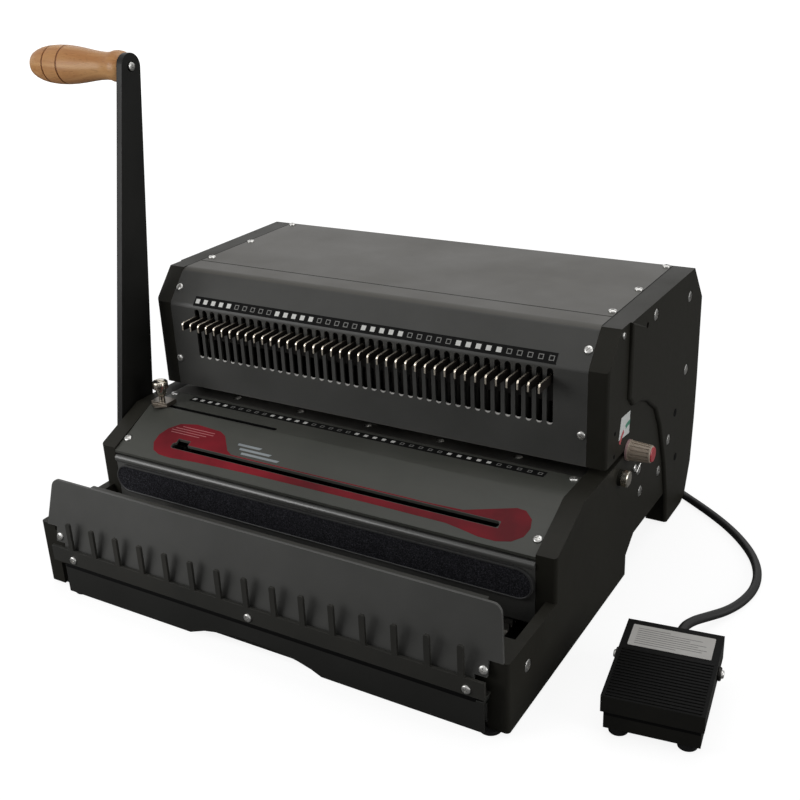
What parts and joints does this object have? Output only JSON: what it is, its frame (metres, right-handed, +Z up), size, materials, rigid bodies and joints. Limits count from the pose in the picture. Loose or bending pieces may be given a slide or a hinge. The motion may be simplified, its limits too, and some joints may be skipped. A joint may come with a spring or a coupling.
{
  "type": "electric wire binding machine",
  "caption": "Desk punch and wire closer for twin-loop binding: wide faceted head with pull tabs, sloping wire bed, comb front, long side lever and a corded foot pedal.",
  "frame": {"origin": "centre of the underside of the base pan, 3 mm above the bench", "axes": "+X to the machine's right, +Y to its back, +Z up"},
  "size_m": [0.6512, 0.4663, 0.4104],
  "materials": {
    "frame_black": "matte, fine powder coat",
    "cover_grey": "satin grey-brown paint",
    "front_grey": "satin blue-grey paint",
    "bed_grey": "satin dark grey paint",
    "sheet_black": "satin black paint, bright cut edges",
    "comb_black": "satin black",
    "grip_strip": "embossed dark strip",
    "marks": "matt black film with pale squares",
    "screw_steel": "bright plated",
    "tool_steel": "ground steel",
    "motor_case": "grey enamel",
    "bush_bronze": "plain bronze",
    "rubber": "matt black",
    "lever_black": "satin black",
    "grip_wood": "varnished beech with two burnt rings",
    "knob_grey": "fluted grey-brown",
    "knob_red": "red cap",
    "knurled_steel": "knurled and plated",
    "guide_black": "satin black",
    "black_plastic": "moulded black",
    "pedal_black": "ribbed black tread over steel",
    "pedal_steel": "black paint"
  },
  "bodies": {
    "machine": {"left_side_frame": "frame_black", "right_side_frame": "frame_black", "head_top_cover": "cover_grey", "rear_cover": "cover_grey", "head_front_cover": "front_grey", "bed_plate": "bed_grey", "bed_front_panel": "bed_grey", "front_flap": "sheet_black", "front_skirt": "sheet_black", "base_pan": "sheet_black", "rear_floor": "sheet_black", "comb_bar": "comb_black", "grip_strip": "grip_strip", "mark_strips": "marks", "cover_screws": "screw_steel", "bed_screws": "screw_steel", "front_screws": "screw_steel", "side_bolts": "screw_steel", "pedal_pivots": "screw_steel", "die_plate": "tool_steel", "pin_guide": "tool_steel", "guide_rods": "tool_steel", "motor": "motor_case", "shaft_bushes": "bush_bronze", "machine_feet": "rubber", "pedal_feet": "rubber", "pedal_cord": "rubber", "power_inlet": "black_plastic", "cord_gland": "black_plastic", "pedal_base": "pedal_steel"},
    "closer": {"lever_arm": "lever_black", "grip_bolt": "screw_steel", "closer_shaft": "tool_steel", "closer_pinions": "tool_steel"},
    "closing_jaw": {"closing_bar": "comb_black", "closer_racks": "tool_steel"},
    "grip": {"lever_grip": "grip_wood"},
    "drive": {"eccentric_shaft": "tool_steel", "drive_gear": "tool_steel"},
    "rotor": {"motor_pinion": "tool_steel"},
    "punch_ram": {"ram": "tool_steel", "punch_pins": "tool_steel"},
    "margin": {"margin_shaft": "tool_steel", "margin_knob": "knob_grey", "margin_knob_cap": "knob_red"},
    "gauge": {"back_gauge": "tool_steel"},
    "paper_guide": {"side_guide": "guide_black"},
    "guide_screw": {"thumb_screw": "knurled_steel"},
    "flank_knob": {"lock_knob": "knurled_steel"},
    "tray": {"chip_tray": "sheet_black"},
    "treadle": {"pedal_plate": "pedal_black"},
    "rocker": {"power_switch": "black_plastic"},
    "tabs_01_05": {"pull_tabs_01_05": "tool_steel"},
    "tabs_06_10": {"pull_tabs_06_10": "tool_steel"},
    "tabs_11_15": {"pull_tabs_11_15": "tool_steel"},
    "tabs_16_20": {"pull_tabs_16_20": "tool_steel"},
    "tabs_21_25": {"pull_tabs_21_25": "tool_steel"},
    "tabs_26_30": {"pull_tabs_26_30": "tool_steel"},
    "tabs_31_35": {"pull_tabs_31_35": "tool_steel"},
    "tabs_36_40": {"pull_tabs_36_40": "tool_steel"}
  },
  "joints": [
    {"name": "lever_pull", "type": "hinge", "parent": "machine", "child": "closer", "pos_m": [-0.215, 0.0095, 0.052], "axis": [1, 0, 0], "range_deg": [0, 85]},
    {"name": "closing_slide", "type": "slide", "parent": "machine", "child": "closing_jaw", "axis": [0, 1, 0], "range_m": [0, 0.0357]},
    {"name": "grip_spin", "type": "hinge", "parent": "closer", "child": "grip", "pos_m": [-0.27, 0.06624, 0.39109], "axis": [1, 0, 0], "continuous": true},
    {"name": "drive_turn", "type": "hinge", "parent": "machine", "child": "drive", "pos_m": [0, 0.1535, 0.165], "axis": [1, 0, 0], "range_deg": [0, 180]},
    {"name": "motor_spin", "type": "hinge", "parent": "machine", "child": "rotor", "pos_m": [0.15, 0.1966, 0.12885], "axis": [1, 0, 0], "range_deg": [-720, 0]},
    {"name": "ram_slide", "type": "slide", "parent": "machine", "child": "punch_ram", "axis": [0, 0, -1], "range_m": [0, 0.02]},
    {"name": "margin_turn", "type": "hinge", "parent": "machine", "child": "margin", "pos_m": [0.215, 0.1025, 0.1145], "axis": [1, 0, 0], "range_deg": [0, 180]},
    {"name": "back_gauge_slide", "type": "slide", "parent": "machine", "child": "gauge", "axis": [0, -1, 0], "range_m": [0, 0.004]},
    {"name": "side_guide_slide", "type": "slide", "parent": "machine", "child": "paper_guide", "axis": [1, 0, 0], "range_m": [0, 0.105]},
    {"name": "thumb_screw_turn", "type": "hinge", "parent": "paper_guide", "child": "guide_screw", "pos_m": [-0.184, 0.0205, 0.125], "axis": [0, 0, 1], "continuous": true},
    {"name": "lock_knob_turn", "type": "hinge", "parent": "machine", "child": "flank_knob", "pos_m": [0.215, 0.087, 0.098], "axis": [1, 0, 0], "continuous": true},
    {"name": "chip_tray_slide", "type": "slide", "parent": "machine", "child": "tray", "axis": [0, 1, 0], "range_m": [0, 0.12]},
    {"name": "pedal_press", "type": "hinge", "parent": "machine", "child": "treadle", "pos_m": [0.28538, -0.01684, 0.0215], "axis": [0.9903, 0.1392, 0], "range_deg": [0, 5], "stiffness_Nm_per_rad": 2, "springref_deg": -5.73},
    {"name": "switch_rock", "type": "hinge", "parent": "machine", "child": "rocker", "pos_m": [-0.092, 0.2632, 0.08], "axis": [-1, 0, 0], "range_deg": [0, 8]},
    {"name": "tab_pull_01_05", "type": "slide", "parent": "punch_ram", "child": "tabs_01_05", "axis": [0, -1, 0], "range_m": [0, 0.006]},
    {"name": "tab_pull_06_10", "type": "slide", "parent": "punch_ram", "child": "tabs_06_10", "axis": [0, -1, 0], "range_m": [0, 0.006]},
    {"name": "tab_pull_11_15", "type": "slide", "parent": "punch_ram", "child": "tabs_11_15", "axis": [0, -1, 0], "range_m": [0, 0.006]},
    {"name": "tab_pull_16_20", "type": "slide", "parent": "punch_ram", "child": "tabs_16_20", "axis": [0, -1, 0], "range_m": [0, 0.006]},
    {"name": "tab_pull_21_25", "type": "slide", "parent": "punch_ram", "child": "tabs_21_25", "axis": [0, -1, 0], "range_m": [0, 0.006]},
    {"name": "tab_pull_26_30", "type": "slide", "parent": "punch_ram", "child": "tabs_26_30", "axis": [0, -1, 0], "range_m": [0, 0.006]},
    {"name": "tab_pull_31_35", "type": "slide", "parent": "punch_ram", "child": "tabs_31_35", "axis": [0, -1, 0], "range_m": [0, 0.006]},
    {"name": "tab_pull_36_40", "type": "slide", "parent": "punch_ram", "child": "tabs_36_40", "axis": [0, -1, 0], "range_m": [0, 0.006]}
  ],
  "couplings": [
    {"joint": "closing_slide", "follows": "lever_pull", "m_per_rad": 0.024},
    {"joint": "ram_slide", "follows": "drive_turn", "m_per_rad": 0.0063662},
    {"joint": "motor_spin", "follows": "drive_turn", "ratio": -4},
    {"joint": "margin_turn", "follows": "back_gauge_slide", "rad_per_m": 785.4}
  ]
}
